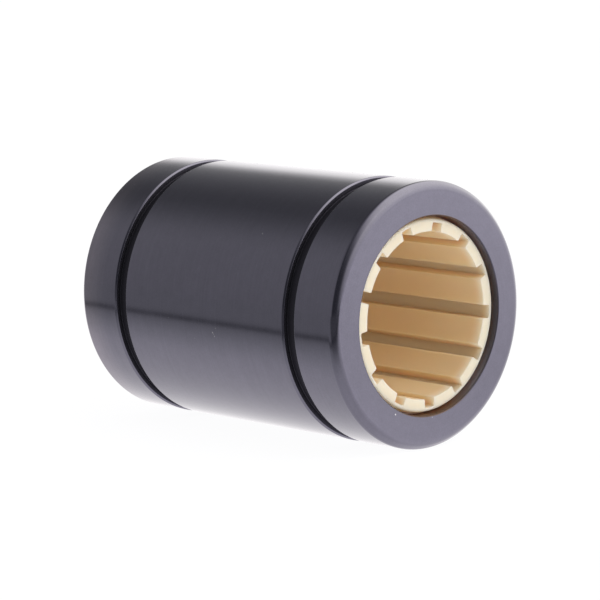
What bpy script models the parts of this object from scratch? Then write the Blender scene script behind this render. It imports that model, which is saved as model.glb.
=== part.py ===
# Linear bushing with a plain polymer liner, for a round shaft in a round housing.
# Two pieces: a turned aluminium sleeve with two retaining-ring grooves, and a slit liner
# with lengthwise dirt grooves, snapped into the sleeve by a collar at each end.
# The shaft axis is X and the origin is the middle of the bore. Metres, +Z up.

from math import pi, radians, tau

import bmesh
import bpy
from mathutils import Matrix

# Sleeve: the envelope that the housing and the retaining rings see
SLEEVE_DIAMETER = 0.032
SLEEVE_LENGTH = 0.045
SLEEVE_CHAMFER = 0.00075      # 45 degree lead-in at both ends, outside
RING_SPAN = 0.0312            # outer wall to outer wall of the two ring grooves
RING_GROOVE_WIDTH = 0.0016
RING_GROOVE_DEPTH = 0.0008
RING_EDGE_BREAK = 0.00018     # broken edges of the ring grooves
MOUTH_BREAK = 0.00008         # broken inner edge of each end face

# Liner: the sliding surface
SHAFT_DIAMETER = 0.020
LINER_WALL = 0.00135
LINER_RECESS = 0.00065        # liner's end face below the sleeve's end face
LAND_LEAD_IN = 0.0001         # broken edge where the shaft enters
DIRT_GROOVE_COUNT = 12
DIRT_GROOVE_WIDTH = 0.00142
DIRT_GROOVE_DEPTH = 0.00105
SLIT_WIDTH = 0.00137          # lengthwise cut through the whole wall
SLIT_ANGLE = 162.8            # degrees about X, from +Y towards +Z
SLIT_PITCH = 26.5             # degrees from the slit to the groove on either side of it

# Collars: the end of the liner that snaps behind the sleeve's shoulder
COLLAR_LENGTH = 0.0013
COLLAR_HEIGHT = 0.00035       # how far it stands out from the liner's wall
NOSE_FLAT = 0.0012            # flat end face, from the bore outwards
NOSE_CHAMFER = 0.0003

FIT_GAP = 0.0002              # liner to sleeve, all round

SLEEVE_STEPS = 120            # a multiple of four, so that a flat faces down
LINER_STEPS = 104

sleeve_radius = SLEEVE_DIAMETER / 2
sleeve_end = SLEEVE_LENGTH / 2
liner_end = sleeve_end - LINER_RECESS
land_radius = SHAFT_DIAMETER / 2
liner_radius = land_radius + LINER_WALL
collar_radius = liner_radius + COLLAR_HEIGHT
nose_radius = land_radius + NOSE_FLAT


def clear_scene():
    for thing in list(bpy.data.objects):
        bpy.data.objects.remove(thing, do_unlink=True)


def new_collection(name):
    collection = bpy.data.collections.new(name)
    bpy.context.scene.collection.children.link(collection)
    return collection


def finish_material(name, colour, metallic, roughness):
    material = bpy.data.materials.new(name)
    material.use_nodes = True
    shader = material.node_tree.nodes["Principled BSDF"]
    shader.inputs["Base Color"].default_value = (*colour, 1.0)
    shader.inputs["Metallic"].default_value = metallic
    shader.inputs["Roughness"].default_value = roughness
    return material


def anodised_aluminium():
    return finish_material("anodised_aluminium", (0.17, 0.17, 0.205), 0.7, 0.42)


def bearing_polymer():
    return finish_material("bearing_polymer", (0.86, 0.72, 0.50), 0.0, 0.48)


def turned_outline(outer, inner):
    # both lists run from the +X end face to mid-length, and the -X half mirrors them
    def far_half(points):
        return [(-x, radius) for x, radius in points]

    return outer + far_half(outer[::-1]) + far_half(inner) + inner[::-1]


def add_turned(name, outline, steps, material, collection):
    # a closed outline of (x, radius) points, turned about X
    mesh = bpy.data.meshes.new(name)
    corners = [(x, radius, 0.0) for x, radius in outline]
    count = len(corners)
    mesh.from_pydata(corners, [(i, (i + 1) % count) for i in range(count)], [])
    mesh.materials.append(material)
    piece = bpy.data.objects.new(name, mesh)
    collection.objects.link(piece)
    screw = piece.modifiers.new("turning", "SCREW")
    screw.axis = "X"
    screw.angle = tau
    screw.steps = steps
    screw.render_steps = steps
    screw.use_merge_vertices = True
    screw.merge_threshold = 0.00001
    screw.use_smooth_shade = True
    return piece


def ring_groove(outer_wall):
    # points across one retaining-ring groove, from its outer wall towards mid-length
    inner_wall = outer_wall - RING_GROOVE_WIDTH
    floor = sleeve_radius - RING_GROOVE_DEPTH
    edge = sleeve_radius - RING_EDGE_BREAK
    return [
        (outer_wall + RING_EDGE_BREAK, sleeve_radius),
        (outer_wall, edge),
        (outer_wall, floor),
        (inner_wall, floor),
        (inner_wall, edge),
        (inner_wall - RING_EDGE_BREAK, sleeve_radius),
    ]


def build_sleeve(collection):
    counterbore_radius = collar_radius + FIT_GAP
    bore_radius = liner_radius + FIT_GAP
    shoulder = liner_end - COLLAR_LENGTH - FIT_GAP
    outer = [
        (sleeve_end, sleeve_radius - SLEEVE_CHAMFER),
        (sleeve_end - SLEEVE_CHAMFER, sleeve_radius),
    ]
    outer += ring_groove(RING_SPAN / 2)
    inner = [
        (sleeve_end, counterbore_radius + MOUTH_BREAK),
        (sleeve_end - MOUTH_BREAK, counterbore_radius),
        (shoulder, counterbore_radius),
        (shoulder, bore_radius),
    ]
    outline = turned_outline(outer, inner)
    sleeve = add_turned("outer_sleeve", outline, SLEEVE_STEPS, anodised_aluminium(), collection)
    sleeve.rotation_euler.x = pi / SLEEVE_STEPS    # half a facet, so a flat faces down
    return sleeve


def add_bar(bm, angle, width, inner_radius, outer_radius, length):
    # a box along X whose middle plane holds the axis, at the given angle about it
    middle = (inner_radius + outer_radius) / 2
    size = Matrix.Diagonal((length, outer_radius - inner_radius, width, 1.0))
    place = Matrix.Rotation(angle, 4, "X") @ Matrix.Translation((0.0, middle, 0.0))
    bmesh.ops.create_cube(bm, size=1.0, matrix=place @ size)


def groove_angles():
    # the grooves share the circle evenly, apart from the closer pitch beside the slit
    pitch = (360.0 - 2 * SLIT_PITCH) / (DIRT_GROOVE_COUNT - 1)
    return [radians(SLIT_PITCH + number * pitch) for number in range(DIRT_GROOVE_COUNT)]


def groove_cutter(collection):
    # one bar for each dirt groove, and one through the whole wall for the slit
    start = land_radius - DIRT_GROOVE_DEPTH
    floor = land_radius + DIRT_GROOVE_DEPTH
    length = SLEEVE_LENGTH * 1.2
    bm = bmesh.new()
    for angle in groove_angles():
        add_bar(bm, angle, DIRT_GROOVE_WIDTH, start, floor, length)
    add_bar(bm, 0.0, SLIT_WIDTH, start, collar_radius + LINER_WALL, length)
    mesh = bpy.data.meshes.new("groove_bars")
    bm.to_mesh(mesh)
    bm.free()
    cutter = bpy.data.objects.new("groove_bars", mesh)
    cutter.hide_render = True
    cutter.display_type = "WIRE"
    collection.objects.link(cutter)
    return cutter


def build_liner(collection, cutters):
    # the collar flares from behind the nose chamfer to its full radius at its underside
    chamfer_end = liner_end - NOSE_CHAMFER
    underside = liner_end - COLLAR_LENGTH
    lip = (chamfer_end + underside) / 2
    outer = [
        (liner_end, nose_radius),
        (chamfer_end, nose_radius + NOSE_CHAMFER),
        (lip, collar_radius),
        (underside, collar_radius),
        (underside, liner_radius),
    ]
    inner = [
        (liner_end, land_radius + LAND_LEAD_IN),
        (liner_end - LAND_LEAD_IN, land_radius),
    ]
    outline = turned_outline(outer, inner)
    liner = add_turned("liner", outline, LINER_STEPS, bearing_polymer(), collection)
    cutter = groove_cutter(cutters)
    cut = liner.modifiers.new("grooves_and_slit", "BOOLEAN")
    cut.operation = "DIFFERENCE"
    cut.solver = "EXACT"
    cut.object = cutter
    for piece in (liner, cutter):
        piece.rotation_euler.x = radians(SLIT_ANGLE)
    return liner


def main():
    clear_scene()
    parts = new_collection("linear_bushing")
    cutters = new_collection("cutters")
    build_sleeve(parts)
    build_liner(parts, cutters)


main()
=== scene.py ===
# Linear bushing: a turned, anodised aluminium sleeve with a slit polymer liner.
# The shaft axis is X and the bushing lies on the floor. Lengths are in metres.

from math import asin, cos, hypot, radians, sin, tau

import bmesh
import bpy
from mathutils import Matrix, Vector


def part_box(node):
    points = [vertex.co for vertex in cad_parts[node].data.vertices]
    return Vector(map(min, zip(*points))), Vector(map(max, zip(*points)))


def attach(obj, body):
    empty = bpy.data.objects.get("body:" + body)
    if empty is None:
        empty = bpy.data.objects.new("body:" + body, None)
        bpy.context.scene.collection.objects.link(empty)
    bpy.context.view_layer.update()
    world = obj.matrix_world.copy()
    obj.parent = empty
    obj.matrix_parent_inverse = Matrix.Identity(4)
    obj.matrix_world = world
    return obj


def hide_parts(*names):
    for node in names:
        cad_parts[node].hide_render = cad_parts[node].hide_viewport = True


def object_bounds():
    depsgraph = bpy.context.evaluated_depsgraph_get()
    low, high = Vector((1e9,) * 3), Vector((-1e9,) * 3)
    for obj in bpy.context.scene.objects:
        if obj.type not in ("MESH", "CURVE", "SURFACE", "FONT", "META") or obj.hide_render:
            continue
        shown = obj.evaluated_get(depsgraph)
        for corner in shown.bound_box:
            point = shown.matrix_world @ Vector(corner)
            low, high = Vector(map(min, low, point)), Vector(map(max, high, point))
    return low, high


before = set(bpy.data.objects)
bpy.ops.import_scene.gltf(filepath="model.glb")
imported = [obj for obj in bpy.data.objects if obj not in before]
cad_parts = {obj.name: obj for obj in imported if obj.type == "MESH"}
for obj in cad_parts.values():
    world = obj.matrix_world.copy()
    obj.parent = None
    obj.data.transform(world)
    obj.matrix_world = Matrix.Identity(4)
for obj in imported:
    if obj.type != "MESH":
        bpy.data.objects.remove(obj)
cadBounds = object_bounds()
sleeveLow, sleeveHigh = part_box("outer_sleeve")
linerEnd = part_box("liner")[1].x
mergeDistance = 0.0000005
hair, tenth = 0.00001, 0.0001       # a hundredth and a tenth of a millimetre
scene = bpy.context.scene
scene.view_settings.view_transform = "Standard"


# Camera

cameraView = {
    "aim": (0.011564, -0.010838, 0.001887),
    "azimuth": 45.72,       # degrees from -Y towards +X
    "elevation": 7.835,
    "distance": 0.35811,
    "lens": 182.31,         # millimetres, as is the sensor's width
    "sensor": 36.0,
}


def addCamera(view):
    turn, rise = radians(view["azimuth"]), radians(view["elevation"])
    towards = Vector((sin(turn) * cos(rise), -cos(turn) * cos(rise), sin(rise)))
    lens = bpy.data.cameras.new("camera")
    lens.lens = view["lens"]
    lens.sensor_width = view["sensor"]
    camera = bpy.data.objects.new("camera", lens)
    scene.collection.objects.link(camera)
    camera.location = Vector(view["aim"]) + towards * view["distance"]
    camera.rotation_euler = towards.to_track_quat("Z", "Y").to_euler()
    scene.camera = camera


addCamera(cameraView)
print("camera placed")


# Node trees: a Value is a socket that can be used in a sum, and Shading adds the nodes

class Value:
    def __init__(self, shading, socket):
        self.shading = shading
        self.socket = socket

    def math(self, operation, first, second):
        return self.shading.node("ShaderNodeMath", {"operation": operation},
                                 {0: first, 1: second})

    def __add__(self, other):
        return self.math("ADD", self, other)

    def __radd__(self, other):
        return self.math("ADD", other, self)

    def __sub__(self, other):
        return self.math("SUBTRACT", self, other)

    def __rsub__(self, other):
        return self.math("SUBTRACT", other, self)

    def __mul__(self, other):
        return self.math("MULTIPLY", self, other)

    def __rmul__(self, other):
        return self.math("MULTIPLY", other, self)

    def __truediv__(self, other):
        return self.math("DIVIDE", self, other)

    def __pow__(self, other):
        return self.math("POWER", self, other)


class Shading:
    def __init__(self, tree):
        self.tree = tree
        tree.nodes.clear()

    def node(self, kind, settings=None, sockets=None, output=0):
        made = self.tree.nodes.new(kind)
        for name, value in (settings or {}).items():
            if name == "stops":
                self.setStops(made.color_ramp, value)
            else:
                setattr(made, name, value)
        for key, value in (sockets or {}).items():
            if isinstance(value, Value):
                self.tree.links.new(value.socket, made.inputs[key])
            else:
                made.inputs[key].default_value = value
        return Value(self, made.outputs[output]) if made.outputs else made

    def setStops(self, ramp, stops):
        while len(ramp.elements) < len(stops):
            ramp.elements.new(1.0)
        for element, (place, level) in zip(ramp.elements, stops):
            element.position = place
            element.color = (level, level, level, 1.0)

    def split(self, vector):
        made = self.node("ShaderNodeSeparateXYZ", None, {0: vector}).socket.node
        return [Value(self, made.outputs[axis]) for axis in range(3)]

    def join(self, x, y, z):
        return self.node("ShaderNodeCombineXYZ", None, {0: x, 1: y, 2: z})

    def rise(self, value, low, high):
        # 0 below low, 1 above high and a smooth step between them
        return self.node("ShaderNodeMapRange", {"interpolation_type": "SMOOTHSTEP"},
                         {"Value": value, "From Min": low, "From Max": high})

    def blend(self, factor, first, second):
        return self.node("ShaderNodeMix", {"data_type": "RGBA"},
                         {0: factor, 6: first, 7: second}, 2)

    def noise(self, vector, scale, detail):
        return self.node("ShaderNodeTexNoise", {"noise_dimensions": "3D"},
                         {"Vector": vector, "Scale": scale, "Detail": detail})

    def ray(self, kind):
        return self.node("ShaderNodeLightPath", None, None, f"Is {kind} Ray")

    def seen(self):
        # 1 where the camera looks at a surface itself, and not at its reflection
        return self.node("ShaderNodeMath", {"operation": "MAXIMUM"},
                         {0: self.ray("Camera"), 1: self.ray("Transmission")})


def newMaterial(name):
    material = bpy.data.materials.new(name)
    material.use_nodes = True
    return material, Shading(material.node_tree)


# Studio: a pale floor and a white room, with a dark ceiling and a grey front wall that
# only the gloss of the metal picks up

studio = {
    # the room, by its direction: each pair is where something starts and where it is full
    "roomNear": 0.075,          # the dark side that the near end faces
    "roomFar": 1.0,             # how much brighter it is towards the back
    "roomFade": (-0.72, 0.68),  # from front to back
    "sideLean": 0.35,           # how far the near end's side reaches round to the back
    "sideFade": (-0.35, 0.25),
    "ceilingLight": 0.85,       # the bright panel above the back
    "panelLean": 0.57,
    "panelFade": (-0.10, 0.45),
    "panelHeight": (-0.10, 0.85),
    "panelWarmth": 0.08,        # how much blue the panel lacks
    "wallWarmth": 0.010,        # how rosy the bright part of the room is
    "wallBright": (0.15, 0.60),
    "wallSlant": 30.0,          # degrees that the front wall's bands lean towards the near end
    "wallMiddle": 0.709,        # how far towards the far end they stand upright
    # light that only matt surfaces see
    "fill": 0.38,               # how strongly the room lights them
    "softLight": 1.42,          # a broad soft light
    "softFrom": (0.85, 0.26, -0.20),
    "softFade": (-0.2, 1.0),
    "softBands": 3.7,           # how much of it comes from above and below
    "backLight": 0.9,           # a soft light from behind, through the bore
    "backFade": (0.1, -1.0),
    # the floor, with a table on it that only the gloss of the metal shows
    "floorSize": 6.0,
    "paperColour": (0.82, 0.82, 0.83, 1.0),
    "whiteGlow": (1.066, 1.066, 1.072, 1.0),    # its light to the eye and on matt surfaces
    "shadowShare": 0.10,        # how much of the paper the eye sees, with the shadow on it
    "tableEdge": -0.054,        # where the lit table ends, in front of the bushing
    "tableWarmth": 0.012,       # how rosy the bright part of the table is
    "tableBright": (0.45, 0.90),
    "cornerShade": 0.55,        # how much darker the table is beside the near end
    "cornerReach": 0.03,        # past the end face
    "cornerFade": (-0.012, -0.045),
    "lampSize": (0.42, 0.62),
    "lampPlace": (0.36, -0.20, 0.38),
    "lampPower": 0.1,
    # brightness round the axis, from the front horizon over the top to the back, in degrees
    "wall": ((0, 0.345), (20, 0.36), (49, 0.365), (59, 0.325), (69, 0.252), (79, 0.182),
             (89, 0.139), (99, 0.135), (109, 0.155), (119, 0.185), (129, 0.230), (139, 0.295),
             (144, 0.43), (149, 0.655), (154, 0.94), (159, 1.13), (169, 1.15), (180, 1.14)),
    # brightness of the table top by its distance behind the edge, in metres
    "table": ((-0.012, 0.335), (-0.0070, 0.29), (-0.0035, 0.20), (-0.0015, 0.12),
              (0.0017, 0.11), (0.0042, 0.21), (0.0068, 0.35), (0.0163, 0.466), (0.025, 0.62),
              (0.0305, 0.745), (0.0345, 0.79), (0.042, 0.845), (0.0452, 0.90), (0.0479, 0.955),
              (0.0491, 0.995), (0.0503, 1.09), (0.075, 1.00), (0.115, 0.95), (0.155, 1.06),
              (0.290, 1.20)),
}


def addWorld(look):
    world = bpy.data.worlds.new("studio")
    scene.world = world
    world.use_nodes = True
    world.cycles.sampling_method = "NONE"
    shading = Shading(world.node_tree)
    x, y, z = shading.split(shading.node("ShaderNodeTexCoord", None, None, "Generated"))
    around = shading.node("ShaderNodeMath", {"operation": "ARCTAN2"}, {0: z, 1: y * -1.0})
    stops = [(angle / 180.0, level) for angle, level in look["wall"]]
    lean = (x + look["wallMiddle"]) * radians(look["wallSlant"])
    wall = shading.node("ShaderNodeValToRGB", {"stops": stops},
                        {0: (around + lean) / radians(180)})
    panel = (shading.rise(y + x * look["panelLean"], *look["panelFade"])
             * shading.rise(z, *look["panelHeight"]))
    right = (look["roomNear"] + look["roomFar"] * shading.rise(y, *look["roomFade"])
             + look["ceilingLight"] * panel)
    side = shading.rise(x + y * look["sideLean"], *look["sideFade"])
    gloss = shading.ray("Glossy")
    walls = wall + (right - wall) * side
    softX, softY, softZ = look["softFrom"]
    soft = (shading.rise(x * softX + y * softY + z * softZ, *look["softFade"])
            * look["softLight"])
    soft = soft * (1.0 - look["softBands"] / 4 + look["softBands"] * z * z)
    back = shading.rise(x, *look["backFade"]) * look["backLight"]
    matt = walls * look["fill"] + soft + back
    room = matt + (walls - matt) * gloss
    warm = shading.rise(room, *look["wallBright"]) * gloss * look["wallWarmth"]
    creamy = panel * gloss * look["panelWarmth"]
    sky = shading.node("ShaderNodeBackground", None,
                       {0: shading.join(1.0 + warm, 1.0 - warm, 1.0 - creamy),
                        1: room + (1.0 - room) * shading.seen()})
    shading.node("ShaderNodeOutputWorld", None, {0: sky})


def addFloor(look):
    bm = bmesh.new()
    bmesh.ops.create_grid(bm, x_segments=1, y_segments=1, size=look["floorSize"] / 2)
    bmesh.ops.translate(bm, verts=bm.verts, vec=(0.0, 0.0, cadBounds[0][2]))
    mesh = bpy.data.meshes.new("floor")
    bm.to_mesh(mesh)
    bm.free()
    floor = bpy.data.objects.new("floor", mesh)
    scene.collection.objects.link(floor)
    material, shading = newMaterial("white_floor")
    material.cycles.emission_sampling = "NONE"
    x, y = shading.split(shading.node("ShaderNodeTexCoord", None, None, "Object"))[:2]
    first, last = look["table"][0][0], look["table"][-1][0]
    stops = [((way - first) / (last - first), level) for way, level in look["table"]]
    along = (y - (look["tableEdge"] + first)) / (last - first)
    table = shading.node("ShaderNodeValToRGB", {"stops": stops}, {0: along})
    shade = (shading.rise(x, sleeveHigh.x, sleeveHigh.x + look["cornerReach"])
             * shading.rise(y, *look["cornerFade"]))
    table = table * (1.0 - look["cornerShade"] * shade)
    warm = shading.rise(table, *look["tableBright"]) * look["tableWarmth"]
    mirrored = shading.join(table * (1.0 + warm), table * (1.0 - warm), table)
    gloss = shading.ray("Glossy")
    paper = shading.node("ShaderNodeBsdfDiffuse", None, {0: look["paperColour"]})
    glow = shading.node("ShaderNodeEmission", None,
                        {0: shading.blend(gloss, look["whiteGlow"], mirrored)})
    surface = shading.node("ShaderNodeMixShader", None,
                           {0: 1.0 - look["shadowShare"] * shading.seen(), 1: paper, 2: glow})
    shading.node("ShaderNodeOutputMaterial", None, {0: surface})
    mesh.materials.append(material)


def addLamp(look):
    light = bpy.data.lights.new("overhead_lamp", "AREA")
    light.shape = "RECTANGLE"
    light.size, light.size_y = look["lampSize"]
    light.energy = look["lampPower"]
    lamp = bpy.data.objects.new("overhead_lamp", light)
    scene.collection.objects.link(lamp)
    lamp.location = look["lampPlace"]
    lamp.rotation_euler = Vector(look["lampPlace"]).to_track_quat("Z", "Y").to_euler()
    lamp.visible_glossy = False


addWorld(studio)
addFloor(studio)
addLamp(studio)
print("studio set up")


# Shaping

def roundOff(bm, geom, rounding, segments, affect="VERTICES"):
    bmesh.ops.bevel(bm, geom=geom, offset=rounding, offset_type="OFFSET", segments=segments,
                    profile=0.5, affect=affect, clamp_overlap=affect == "EDGES", material=-1)


def drawProfile(bm, points):
    # an open line of (x, radius, rounding) points, with its corners rounded
    corners = [bm.verts.new((x, 0.0, radius)) for x, radius, rounding in points]
    for first, second in zip(corners, corners[1:]):
        bm.edges.new((first, second))
    for corner, (x, radius, rounding) in zip(corners, points):
        if rounding:
            roundOff(bm, [corner], rounding, 6)


def addFarHalf(bm):
    bmesh.ops.mirror(bm, geom=bm.verts[:] + bm.edges[:] + bm.faces[:], axis="X",
                     merge_dist=mergeDistance)


def finishMesh(bm, name, material, crease=50):
    # one closed skin with its faces outwards, smooth except over corners sharper than crease
    bmesh.ops.remove_doubles(bm, verts=bm.verts, dist=mergeDistance)
    bmesh.ops.recalc_face_normals(bm, faces=bm.faces)
    for face in bm.faces:
        face.smooth = True
    for edge in bm.edges:
        edge.smooth = edge.calc_face_angle(0.0) < radians(crease)
    mesh = bpy.data.meshes.new(name)
    bm.to_mesh(mesh)
    bm.free()
    mesh.materials.append(material)
    piece = bpy.data.objects.new(name, mesh)
    scene.collection.objects.link(piece)
    even = piece.modifiers.new("even_shading", "WEIGHTED_NORMAL")
    even.keep_sharp = True
    even.weight = 50
    return piece


# Sleeve: hard anodised aluminium

sleeve = {
    # the shape
    "chamfer": 0.00075,
    "chamferOuter": 0.00024,    # how far the rounding runs from the chamfer's outer edge
    "chamferInner": 0.00046,    # and from its inner edge
    "arris": 0.00005,
    "ringSpan": 0.0313,
    "grooveWidth": 0.0017,
    "grooveDepth": 0.0008,
    "grooveBreak": 0.00020,
    "grooveCorner": 0.00010,
    "counterboreRadius": 0.0119,
    "boreRadius": 0.01155,
    "mouthBreak": 0.00008,
    "shoulderDepth": 0.00215,   # from the end face
    "turns": 320,
    # the finish: a pair named At is where something starts and where it is full
    "colour": (0.172, 0.1645, 0.2155),
    "roughness": 0.15,
    "faceAt": (0.02235, 0.02249),       # the end face's finish, by distance from mid-length
    "mouthAt": (0.01206, 0.01198),      # the counterbore wall's, by radius
    "grooveFloorAt": (0.0121, 0.0123),  # the ring grooves', by radius above their floor,
    "grooveTopAt": (0.01583, 0.01578),  # by radius below their broken edges
    "grooveSideAt": (0.0161, 0.0159),   # and by distance from mid-length
    "grooveShade": 0.40,        # painted shade: how much darker the metal is inside the ring grooves
    "grooveDepthShade": 0.50,   # and how much more painted shade on their floors
    "grooveDepthAt": (0.0156, 0.0153),
    "farPaintedLight": 0.62,            # painted light: how much lighter and warmer it is at the edge of the far end
    "farPaintedLightAt": (0.0172, 0.0222),
    # painted light from the liner on the counterbore's wall, strongest above and below
    "mouthShade": 0.60,         # painted shade: what the wall has without it
    "mouthLight": 0.75,
    "mouthLightAt": (0.0121, 0.0085),
    "mouthLightBelow": (0.00012, 0.00035),      # the end face, where it starts
    "mouthDeepLight": 0.60,     # more of it all round, further down
    "mouthDeepBelow": (0.0004, 0.0011),
    "linerReflectionAt": (0.0085, 0.0030),        # where it is orange, a painted reflection of the liner
    "turningLines": 4000.0,     # fine lines round the axis, per metre
    "turningChange": (60.0, 97.0),      # how fast a line changes on its way round
    "blushScale": 120.0,        # cloudiness, from broad to fine
    "cloudScale": 900.0,
    "grainScale": 5500.0,
    "speckScale": 900.0,        # bright dust, and the patches that have it
    "patchScale": 330.0,
    "speckClearness": 0.14,
    "brightSpot": (0.92, 0.92, 0.92, 1.0),
    # bright nicks in the surface: where they are, their radius and how clear they are
    "nicks": (((0.02250, -0.00589, -0.01104), 0.00014, 0.80),
              ((0.02250, 0.00039, -0.01213), 0.00011, 0.26),
              ((0.02249, -0.01022, -0.01131), 0.00012, 0.12),
              ((0.00171, -0.01580, -0.00253), 0.00014, 0.42),
              ((0.00184, -0.01577, -0.00271), 0.00011, 0.22),
              ((0.00197, -0.01572, -0.00297), 0.00012, 0.30),
              ((0.00232, -0.01588, -0.00195), 0.00012, 0.20),
              ((0.00725, -0.01281, 0.00958), 0.00013, 0.36)),
}


def anodisedMetal(look):
    material, shading = newMaterial("anodised_metal")
    place = shading.node("ShaderNodeTexCoord", None, None, "Object")
    x, y, z = shading.split(place)
    radius = (y * y + z * z) ** 0.5
    sideways = (y * y) ** 0.5
    lines = look["turningLines"]
    along = y * look["turningChange"][0] + z * look["turningChange"][1]
    turned = shading.join(x * lines, radius * lines, along)
    turning = shading.noise(turned, 1.0, 3.0)
    blush = shading.noise(place, look["blushScale"], 3.0)
    cloud = shading.noise(place, look["cloudScale"], 3.0)
    grain = shading.noise(place, look["grainScale"], 1.0)

    # where the finish changes, and where shade and light are painted
    onFace = shading.rise(x * x, *[way ** 2 for way in look["faceAt"]])
    inMouth = shading.rise(radius, *look["mouthAt"])
    inGroove = (shading.rise(radius, *look["grooveFloorAt"])
                * shading.rise(radius, *look["grooveTopAt"])
                * shading.rise(x * x, *[way ** 2 for way in look["grooveSideAt"]]))
    onFloor = shading.rise(radius, *look["grooveDepthAt"]) * inGroove
    bare = (1.0 - inGroove) * (1.0 - inMouth)
    # painted light: lighter and warmer towards the edge of the far end
    farLightAmount = shading.rise(x * -1.0, *look["farPaintedLightAt"]) * look["farPaintedLight"]

    # the counterbore's wall, with painted light from the liner beside it and an orange painted
    # reflection of it
    depth = sleeveHigh.x - (x * x) ** 0.5
    wallLight = (look["mouthShade"]
                 + look["mouthLight"] * shading.rise(sideways, *look["mouthLightAt"])
                 * shading.rise(depth, *look["mouthLightBelow"])
                 + look["mouthDeepLight"] * shading.rise(depth, *look["mouthDeepBelow"]))
    linerReflection = inMouth * shading.rise(sideways, *look["linerReflectionAt"])

    # painted shade in the ring grooves and on their floors, and the painted light on the
    # counterbore's wall
    level = ((0.95 + 0.10 * blush + 0.05 * onFace) * (1.0 - look["grooveShade"] * inGroove)
             * (1.0 - look["grooveDepthShade"] * onFloor)
             * (1.0 + (turning - 0.5) * (0.24 - 0.14 * onFace)) * (0.92 + 0.16 * cloud)
             * (0.90 + 0.20 * grain)
             * (1.0 - inMouth + inMouth * wallLight))
    # the painted reflection of the liner turns the counterbore's wall orange
    red, green, blue = look["colour"]
    plain = shading.join(level * (1.0 + 1.12 * farLightAmount + 0.25 * linerReflection) * red,
                         level * (1.0 + farLightAmount - 0.10 * linerReflection) * green,
                         level * (1.0 + 0.75 * farLightAmount - 0.45 * linerReflection) * blue)

    # bright dust all over, and the nicks
    flake = shading.node("ShaderNodeTexVoronoi", {"voronoi_dimensions": "3D"},
                         {"Vector": place, "Scale": look["speckScale"]})
    patch = shading.noise(place, look["patchScale"], 0.0)
    specks = (shading.rise(flake, 0.055, 0.035) * shading.rise(patch, 0.60, 0.66)
              * look["speckClearness"])
    for centre, size, clear in look["nicks"]:
        gap = shading.node("ShaderNodeVectorMath", {"operation": "DISTANCE"},
                           {0: place, 1: centre}, 1)
        specks = specks + shading.rise(gap, size, size * 0.3) * clear

    # a faint painted glow keeps the darkest parts from going black, most of all in the ring
    # grooves
    paintedGlow = shading.join(0.1 * bare + 0.8 * inGroove, 0.2 * bare + 0.8 * inGroove,
                        bare + 0.9 * inGroove)
    rough = (look["roughness"] + (turning - 0.5) * 0.06 + (cloud - 0.5) * 0.05
             + inMouth * 0.30 + inGroove * 0.38)
    metal = shading.node("ShaderNodeBsdfPrincipled", None,
                         {"Base Color": shading.blend(specks, plain, look["brightSpot"]),
                          "Metallic": 1.0, "Roughness": rough, "Coat Weight": 0.8 * bare,
                          "Coat Roughness": 0.12, "Coat IOR": 1.5,
                          "Emission Color": paintedGlow, "Emission Strength": 0.003})
    shading.node("ShaderNodeOutputMaterial", None, {0: metal})
    return material


def buildSleeve(shape):
    end, outside = sleeveHigh.x, (sleeveHigh.z - sleeveLow.z) / 2
    bore, mouth = shape["boreRadius"], shape["counterboreRadius"]
    outerWall = shape["ringSpan"] / 2
    innerWall = outerWall - shape["grooveWidth"]
    edge, corner = shape["grooveBreak"], shape["grooveCorner"]
    floor = outside - shape["grooveDepth"]
    chamfer, arris = shape["chamfer"], shape["arris"]
    lip, shoulder = shape["mouthBreak"], end - shape["shoulderDepth"]
    bm = bmesh.new()
    drawProfile(bm, [
        (0.0, outside, 0.0),
        (innerWall - edge, outside, arris),
        (innerWall, outside - edge, arris),
        (innerWall, floor, corner),
        (outerWall, floor, corner),
        (outerWall, outside - edge, arris),
        (outerWall + edge, outside, arris),
        (end - chamfer, outside, shape["chamferOuter"]),
        (end, outside - chamfer, shape["chamferInner"]),
        (end, mouth + lip, lip / 3),
        (end - lip, mouth, lip / 3),
        (shoulder, mouth, 0.0),
        (shoulder, bore, 0.0),
        (0.0, bore, 0.0),
    ])
    bmesh.ops.spin(bm, geom=bm.verts[:] + bm.edges[:], cent=(0, 0, 0), axis=(1, 0, 0),
                   angle=tau, steps=shape["turns"], use_merge=True)
    addFarHalf(bm)
    return finishMesh(bm, "turned_sleeve", anodisedMetal(shape))


turnedSleeve = buildSleeve(sleeve)
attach(turnedSleeve, "root")
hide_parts("outer_sleeve")
print("sleeve turned:", len(turnedSleeve.data.polygons), "faces")


# Liner: one moulded sleeve with dirt grooves, slit along its whole length

liner = {
    # the shape
    "landRadius": 0.010,
    "outerRadius": 0.01135,
    "grooveCount": 12,
    "grooveWidth": 0.00162,
    "grooveDepth": 0.00105,
    "slitWidth": 0.00137,
    "slitAngle": 163.0,         # degrees about X, from +Y towards +Z
    "slitPitch": 26.5,          # degrees from the slit to the groove on either side
    "landCorner": 0.00011,
    "floorCorner": 0.00012,
    "noseRadius": 0.0115,
    "noseRounding": 0.00030,
    "noseLength": 0.00045,      # from the end face to the collar's lead
    "collarRadius": 0.0117,
    "collarLead": 0.00040,
    "collarLength": 0.0013,
    "endRounding": 0.00011,
    "landSteps": 12,
    "grooveSteps": 4,
    "outsideSteps": 300,
    # the finish
    # painted shade: the bore and its grooves are darker and deeper in tone than the end face,
    # in place of the light that bounces about inside the bore
    "faceColour": (0.975, 0.800, 0.622),
    "boreShadeColour": (0.890, 0.696, 0.428),
    "linerGrooveShadeColour": (0.910, 0.660, 0.430),
    "boreShadeDepth": (0.0001, 0.0018),    # below the liner's end, where face turns to the painted shade of the bore
    "linerGrooveShadeAt": (0.0103, 0.0107), # by radius, where the grooves' painted shade starts and is full
    "roughness": 0.46,
    "cloudScale": 260.0,
    "grainScale": 5200.0,
    "grainDepth": 0.00002,
    "scatterDepth": 0.0013,     # how far light gets into the plastic
    "scatterColour": (1.0, 0.95, 0.90),
}


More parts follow.
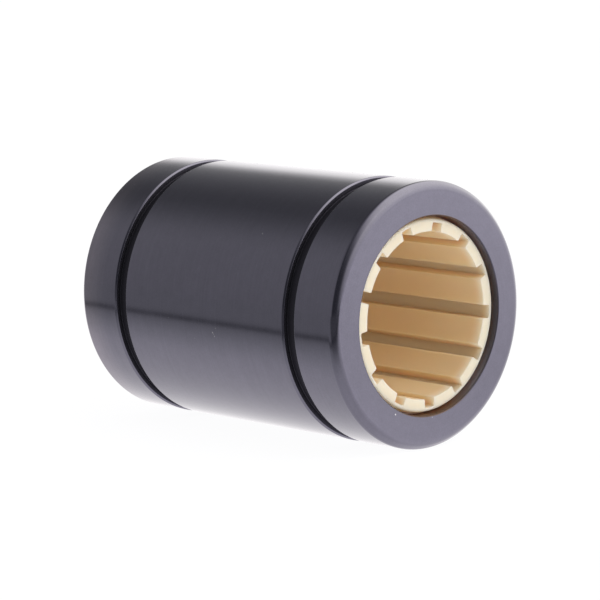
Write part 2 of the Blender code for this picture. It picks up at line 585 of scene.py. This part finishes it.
def bearingPolymer(look):
    material, shading = newMaterial("bearing_polymer_liner")
    place = shading.node("ShaderNodeTexCoord", None, None, "Object")
    x, y, z = shading.split(place)
    near, far = [(linerEnd - depth) ** 2 for depth in look["boreShadeDepth"]]
    atEnd = shading.rise(x * x, far, near)
    inGroove = (shading.rise((y * y + z * z) ** 0.5, *look["linerGrooveShadeAt"])
                * (1.0 - atEnd))
    # painted shade in the bore and, redder, in its grooves
    colour = shading.blend(atEnd, (*look["boreShadeColour"], 1.0), (*look["faceColour"], 1.0))
    colour = shading.blend(inGroove, colour, (*look["linerGrooveShadeColour"], 1.0))
    cloud = shading.noise(place, look["cloudScale"], 4.0)
    grain = shading.noise(place, look["grainScale"], 2.0)
    base = shading.node("ShaderNodeVectorMath", {"operation": "SCALE"},
                        {0: colour, "Scale": 0.98 + 0.04 * cloud})
    bump = shading.node("ShaderNodeBump", None,
                        {"Strength": 0.12, "Distance": look["grainDepth"], "Height": grain})
    rough = look["roughness"] + (grain - 0.5) * 0.10
    plastic = shading.node("ShaderNodeBsdfPrincipled", None,
                           {"Base Color": base, "Roughness": rough, "Normal": bump,
                            "Subsurface Weight": 1.0,
                            "Subsurface Scale": look["scatterDepth"],
                            "Subsurface Radius": look["scatterColour"]})
    shading.node("ShaderNodeOutputMaterial", None, {0: plastic})
    return material


def turn(bm, vert, angle, steps):
    # an arc about the shaft axis from the given vertex; returns its last vertex
    made = bmesh.ops.spin(bm, geom=[vert], cent=(0, 0, 0), axis=(1, 0, 0),
                          angle=angle, steps=steps)
    return [item for item in made["geom_last"] if isinstance(item, bmesh.types.BMVert)][0]


def reach(bm, vert, radius, angle):
    # a straight line to the point at this radius and angle about the shaft axis
    made = bmesh.ops.extrude_vert_indiv(bm, verts=[vert])["verts"][0]
    made.co = (0.0, radius * cos(angle), radius * sin(angle))
    return made


def drawSection(bm, shape):
    # the liner's cross-section at mid-length, slit at angle 0, as one face
    land, outer = shape["landRadius"], shape["outerRadius"]
    floor = land + shape["grooveDepth"]
    pitch = (360.0 - 2 * shape["slitPitch"]) / (shape["grooveCount"] - 1)
    centres = [radians(shape["slitPitch"] + count * pitch)
               for count in range(shape["grooveCount"])]
    half = shape["grooveWidth"] / 2
    slit = shape["slitWidth"] / 2
    atLand, atFloor = asin(half / land), asin(half / floor)
    vert = bm.verts.new((0.0, land * cos(asin(slit / land)), slit))
    first, angle = vert, asin(slit / land)
    landCorners, floorCorners = [vert], []
    for centre in centres:
        vert = turn(bm, vert, centre - atLand - angle, shape["landSteps"])
        landCorners.append(vert)
        vert = reach(bm, vert, floor, centre - atFloor)
        floorCorners.append(vert)
        vert = turn(bm, vert, 2 * atFloor, shape["grooveSteps"])
        floorCorners.append(vert)
        angle = centre + atLand
        vert = reach(bm, vert, land, angle)
        landCorners.append(vert)
    vert = turn(bm, vert, tau - asin(slit / land) - angle, shape["landSteps"])
    landCorners.append(vert)
    vert = reach(bm, vert, outer, tau - asin(slit / outer))
    vert = turn(bm, vert, 2 * asin(slit / outer) - tau, shape["outsideSteps"])
    bm.edges.new((vert, first))
    for corners, rounding in ((landCorners, shape["landCorner"]),
                              (floorCorners, shape["floorCorner"])):
        roundOff(bm, corners, rounding, 3)
    return bmesh.ops.contextual_create(bm, geom=bm.edges[:])["faces"][0]


def noseStations(shape, end):
    # (x, radius) steps of the outside, from just inside the collar to the end face
    bm = bmesh.new()
    collar, nose, rounding = shape["collarRadius"], shape["noseRadius"], shape["noseRounding"]
    underside = end - shape["collarLength"]
    noseEnd = end - shape["noseLength"]
    onFace = nose - rounding - 2 * tenth    # gives the nose its corner, and is left out
    drawProfile(bm, [
        (underside - hair, shape["outerRadius"], 0.0),
        (underside, collar, 0.0),
        (noseEnd - shape["collarLead"], collar, tenth),
        (noseEnd, nose + hair, 0.8 * tenth),
        (end, nose, rounding),
        (end, onFace, 0.0),
    ])
    steps = sorted((vert.co.x, vert.co.z) for vert in bm.verts if vert.co.z > onFace + tenth)
    bm.free()
    return steps


def buildLiner(shape):
    bm = bmesh.new()
    face = drawSection(bm, shape)
    place, radius = 0.0, shape["outerRadius"]
    for x, newRadius in noseStations(shape, linerEnd):
        made = bmesh.ops.extrude_face_region(bm, geom=[face])["geom"]
        bmesh.ops.delete(bm, geom=[face], context="FACES_ONLY")
        face = [item for item in made if isinstance(item, bmesh.types.BMFace)][0]
        bmesh.ops.translate(bm, verts=face.verts, vec=(x - place, 0.0, 0.0))
        rim = [vert for vert in face.verts if hypot(vert.co.y, vert.co.z) > radius - 2 * hair]
        bmesh.ops.scale(bm, verts=rim, vec=(1.0, newRadius / radius, newRadius / radius))
        place, radius = x, newRadius
    mouthEdges = [edge for edge in face.edges
                  if min(hypot(v.co.y, v.co.z) for v in edge.verts) < radius - 2 * hair]
    roundOff(bm, mouthEdges, shape["endRounding"], 3, "EDGES")
    addFarHalf(bm)
    bmesh.ops.rotate(bm, verts=bm.verts, cent=(0, 0, 0),
                     matrix=Matrix.Rotation(radians(shape["slitAngle"]), 3, "X"))
    return finishMesh(bm, "slit_liner", bearingPolymer(shape))


slitLiner = buildLiner(liner)
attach(slitLiner, "root")
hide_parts("liner")
print("liner moulded:", len(slitLiner.data.polygons), "faces")
